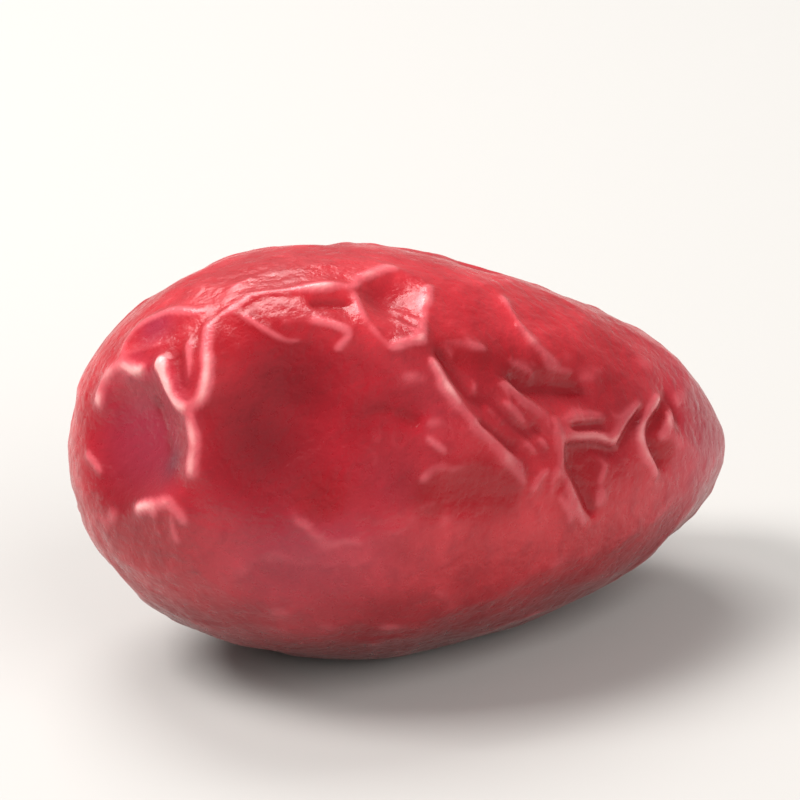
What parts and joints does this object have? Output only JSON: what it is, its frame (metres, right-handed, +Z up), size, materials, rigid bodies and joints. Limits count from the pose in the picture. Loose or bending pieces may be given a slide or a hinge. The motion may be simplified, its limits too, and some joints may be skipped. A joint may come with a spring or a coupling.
{
  "type": "dried jujube",
  "caption": "Whole dried jujube lying on its side: an egg-shaped red fruit with a wrinkled waxy skin, a hollowed blunt end and a small flat spot to rest on.",
  "frame": {"origin": "straight below the fruit's middle, on the flat spot that it rests on", "axes": "+X along the fruit's length as it lies, from the blunt end to the narrow end; +Z up, away from the rest spot"},
  "size_m": [0.0519, 0.0318, 0.0306],
  "materials": {
    "jujube_skin": "thin waxy fruit skin, satin, dried and wrinkled"
  },
  "bodies": {
    "root": {"jujube": "jujube_skin"}
  },
  "joints": []
}
